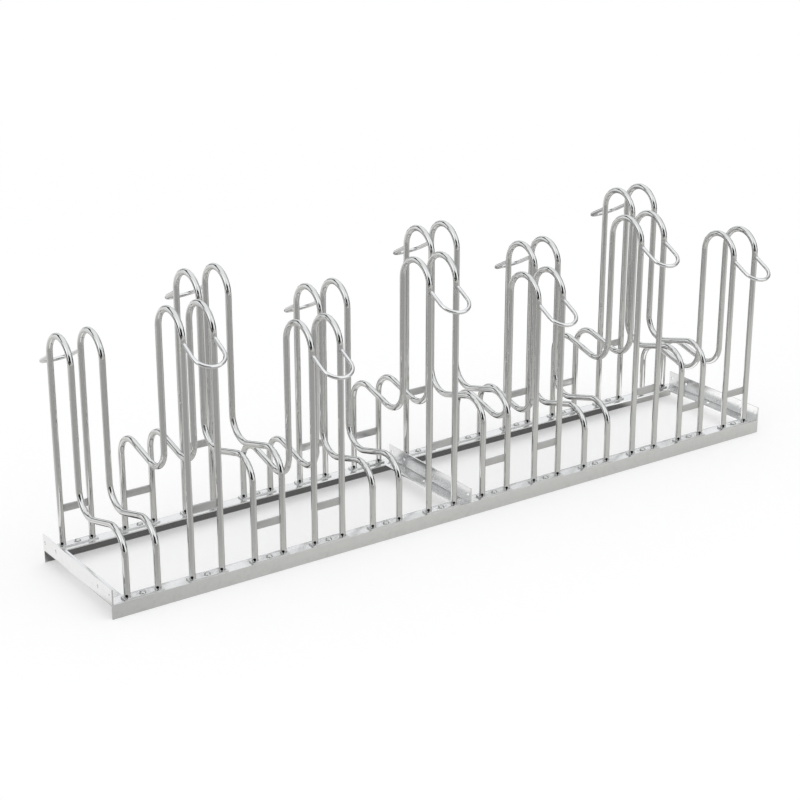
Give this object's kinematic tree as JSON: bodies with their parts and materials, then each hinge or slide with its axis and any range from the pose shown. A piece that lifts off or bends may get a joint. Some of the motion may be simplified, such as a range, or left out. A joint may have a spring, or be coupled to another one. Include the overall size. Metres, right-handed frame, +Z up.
{
  "type": "bike rack",
  "caption": "Double-sided floor bike rack: bent steel tube wheel holders with lock loops, set low and high in turn in a row on a frame of steel angle.",
  "frame": {"origin": "on the ground, under the middle of the rack", "axes": "+X along the row of holders, +Y towards the rear side, +Z up"},
  "size_m": [2.1, 0.5272, 0.717],
  "materials": {
    "galvanised_tube": "smooth bright galvanised tube",
    "galvanised_rod": "smooth bright galvanised rod",
    "galvanised_angle": "satin galvanised hot rolled angle",
    "galvanised_flat": "satin galvanised flat bar"
  },
  "bodies": {
    "root": {"front_rail": "galvanised_angle", "rear_rail": "galvanised_angle", "left_cross_angle": "galvanised_angle", "middle_cross_angle": "galvanised_angle", "right_cross_angle": "galvanised_angle", "holder_01_left_bow": "galvanised_tube", "holder_01_right_bow": "galvanised_tube", "holder_01_lock_loop": "galvanised_rod", "holder_01_tall_side_spacer": "galvanised_flat", "holder_02_left_bow": "galvanised_tube", "holder_02_right_bow": "galvanised_tube", "holder_02_lock_loop": "galvanised_rod", "holder_02_tall_side_spacer": "galvanised_flat", "holder_02_short_side_spacer": "galvanised_flat", "holder_03_left_bow": "galvanised_tube", "holder_03_right_bow": "galvanised_tube", "holder_03_lock_loop": "galvanised_rod", "holder_03_tall_side_spacer": "galvanised_flat", "holder_03_short_side_spacer": "galvanised_flat", "holder_04_left_bow": "galvanised_tube", "holder_04_right_bow": "galvanised_tube", "holder_04_lock_loop": "galvanised_rod", "holder_04_tall_side_spacer": "galvanised_flat", "holder_05_left_bow": "galvanised_tube", "holder_05_right_bow": "galvanised_tube", "holder_05_lock_loop": "galvanised_rod", "holder_05_tall_side_spacer": "galvanised_flat", "holder_06_left_bow": "galvanised_tube", "holder_06_right_bow": "galvanised_tube", "holder_06_lock_loop": "galvanised_rod", "holder_06_tall_side_spacer": "galvanised_flat", "holder_06_short_side_spacer": "galvanised_flat", "holder_07_left_bow": "galvanised_tube", "holder_07_right_bow": "galvanised_tube", "holder_07_lock_loop": "galvanised_rod", "holder_07_tall_side_spacer": "galvanised_flat", "holder_07_short_side_spacer": "galvanised_flat", "holder_08_left_bow": "galvanised_tube", "holder_08_right_bow": "galvanised_tube", "holder_08_lock_loop": "galvanised_rod", "holder_08_tall_side_spacer": "galvanised_flat", "holder_09_left_bow": "galvanised_tube", "holder_09_right_bow": "galvanised_tube", "holder_09_lock_loop": "galvanised_rod", "holder_09_tall_side_spacer": "galvanised_flat", "holder_10_left_bow": "galvanised_tube", "holder_10_right_bow": "galvanised_tube", "holder_10_lock_loop": "galvanised_rod", "holder_10_tall_side_spacer": "galvanised_flat", "holder_10_short_side_spacer": "galvanised_flat", "holder_11_left_bow": "galvanised_tube", "holder_11_right_bow": "galvanised_tube", "holder_11_lock_loop": "galvanised_rod", "holder_11_tall_side_spacer": "galvanised_flat", "holder_11_short_side_spacer": "galvanised_flat", "holder_12_left_bow": "galvanised_tube", "holder_12_right_bow": "galvanised_tube", "holder_12_lock_loop": "galvanised_rod", "holder_12_tall_side_spacer": "galvanised_flat"}
  },
  "joints": []
}
